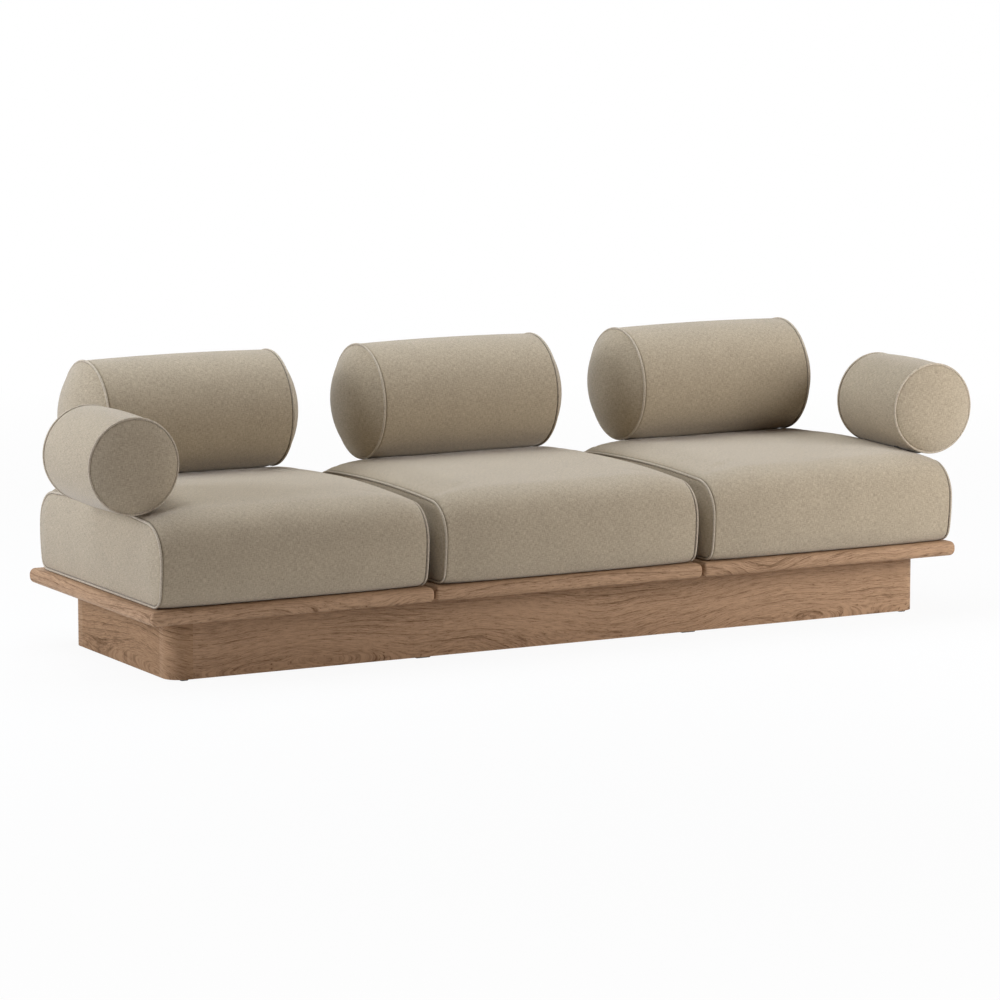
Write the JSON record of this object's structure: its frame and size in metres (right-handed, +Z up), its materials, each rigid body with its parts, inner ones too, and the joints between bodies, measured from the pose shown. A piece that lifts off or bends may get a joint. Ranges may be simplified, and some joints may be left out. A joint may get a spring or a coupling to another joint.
{
  "type": "modular sofa",
  "caption": "Low modular sofa: an oak plinth and platform boards carry boxed lift-off seat cushions with round back and arm bolsters.",
  "frame": {"origin": "on the floor, below the middle of the overall length and depth", "axes": "+X along the sofa to the right as seen from the front, the front faces -Y, +Z up"},
  "size_m": [2.4694, 0.826, 0.7021],
  "materials": {
    "oak": "oiled oak, open grain",
    "plywood": "bare birch plywood",
    "glide": "matte black",
    "foam": "open-cell foam",
    "cloth": "fine linen-like weave",
    "piping": "self-fabric piping",
    "steel": "zinc plated"
  },
  "bodies": {
    "base": {"plinth_front_panel": "oak", "plinth_back_panel": "oak", "plinth_left_end": "oak", "plinth_right_end": "oak", "plinth_corner_posts": "oak", "plinth_cross_ribs": "plywood", "plinth_cleats": "plywood", "plinth_glides": "glide", "platform_left": "oak", "platform_middle": "oak", "platform_right": "oak", "seat_locating_blocks": "plywood"},
    "seat_left": {"seat_left_base_panel": "plywood", "seat_left_foam_core": "foam", "seat_left_sockets": "steel", "seat_left_cover": "cloth", "seat_left_piping": "piping"},
    "seat_middle": {"seat_middle_base_panel": "plywood", "seat_middle_foam_core": "foam", "seat_middle_sockets": "steel", "seat_middle_cover": "cloth", "seat_middle_piping": "piping"},
    "seat_right": {"seat_right_base_panel": "plywood", "seat_right_foam_core": "foam", "seat_right_sockets": "steel", "seat_right_cover": "cloth", "seat_right_piping": "piping"},
    "back_bolster_left": {"back_bolster_left_spine": "plywood", "back_bolster_left_pegs": "steel", "back_bolster_left_foam_core": "foam", "back_bolster_left_cover": "cloth", "back_bolster_left_piping": "piping"},
    "back_bolster_middle": {"back_bolster_middle_spine": "plywood", "back_bolster_middle_pegs": "steel", "back_bolster_middle_foam_core": "foam", "back_bolster_middle_cover": "cloth", "back_bolster_middle_piping": "piping"},
    "back_bolster_right": {"back_bolster_right_spine": "plywood", "back_bolster_right_pegs": "steel", "back_bolster_right_foam_core": "foam", "back_bolster_right_cover": "cloth", "back_bolster_right_piping": "piping"},
    "arm_bolster_left": {"arm_bolster_left_spine": "plywood", "arm_bolster_left_pegs": "steel", "arm_bolster_left_foam_core": "foam", "arm_bolster_left_cover": "cloth", "arm_bolster_left_piping": "piping"},
    "arm_bolster_right": {"arm_bolster_right_spine": "plywood", "arm_bolster_right_pegs": "steel", "arm_bolster_right_foam_core": "foam", "arm_bolster_right_cover": "cloth", "arm_bolster_right_piping": "piping"}
  },
  "joints": [
    {"name": "seat_left_lift", "type": "slide", "parent": "base", "child": "seat_left", "axis": [0, 0, 1], "range_m": [0, 0.15]},
    {"name": "seat_middle_lift", "type": "slide", "parent": "base", "child": "seat_middle", "axis": [0, 0, 1], "range_m": [0, 0.15]},
    {"name": "seat_right_lift", "type": "slide", "parent": "base", "child": "seat_right", "axis": [0, 0, 1], "range_m": [0, 0.15]},
    {"name": "back_bolster_left_lift", "type": "slide", "parent": "seat_left", "child": "back_bolster_left", "axis": [0, 0, 1], "range_m": [0, 0.25]},
    {"name": "back_bolster_middle_lift", "type": "slide", "parent": "seat_middle", "child": "back_bolster_middle", "axis": [0, 0, 1], "range_m": [0, 0.25]},
    {"name": "back_bolster_right_lift", "type": "slide", "parent": "seat_right", "child": "back_bolster_right", "axis": [0, 0, 1], "range_m": [0, 0.25]},
    {"name": "arm_bolster_left_lift", "type": "slide", "parent": "seat_left", "child": "arm_bolster_left", "axis": [0, 0, 1], "range_m": [0, 0.25]},
    {"name": "arm_bolster_right_lift", "type": "slide", "parent": "seat_right", "child": "arm_bolster_right", "axis": [0, 0, 1], "range_m": [0, 0.25]}
  ]
}
